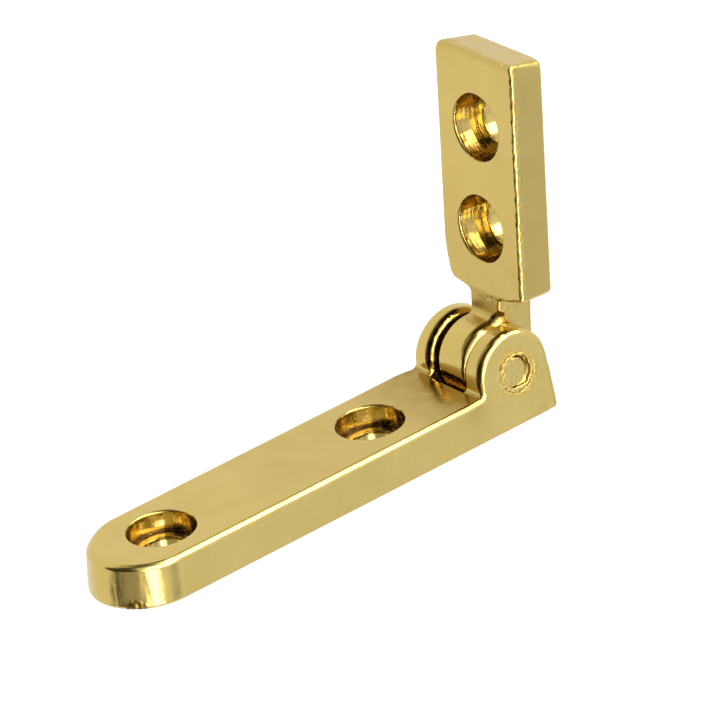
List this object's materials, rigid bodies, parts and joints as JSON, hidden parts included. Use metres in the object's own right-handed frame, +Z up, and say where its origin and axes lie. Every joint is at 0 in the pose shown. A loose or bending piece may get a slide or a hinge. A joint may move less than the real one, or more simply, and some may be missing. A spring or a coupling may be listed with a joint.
{
  "type": "side-rail hinge",
  "caption": "Small cast side-rail hinge for a box lid or cabinet door: a long arm with a clevis, a short leaf that opens to a stop, and a riveted pin.",
  "frame": {"origin": "on the arm's flat underside, straight below the pin's axis, midway across the arm", "axes": "+X along the arm from its free end to the clevis, +Y across the hinge along the pin, +Z up out of the arm's screw holes"},
  "size_m": [0.0378, 0.008, 0.0244],
  "materials": {
    "cast_gilt": "polished and gilt",
    "pin_metal": "gilt, worn where it is riveted"
  },
  "bodies": {
    "base": {"base_arm": "cast_gilt", "pivot_pin": "pin_metal"},
    "leaf": {"leaf": "cast_gilt"}
  },
  "joints": [
    {"name": "leaf_pivot", "type": "hinge", "parent": "base", "child": "leaf", "pos_m": [0, 0, 0.0036], "axis": [0, 1, 0], "range_deg": [-97, 0]}
  ]
}
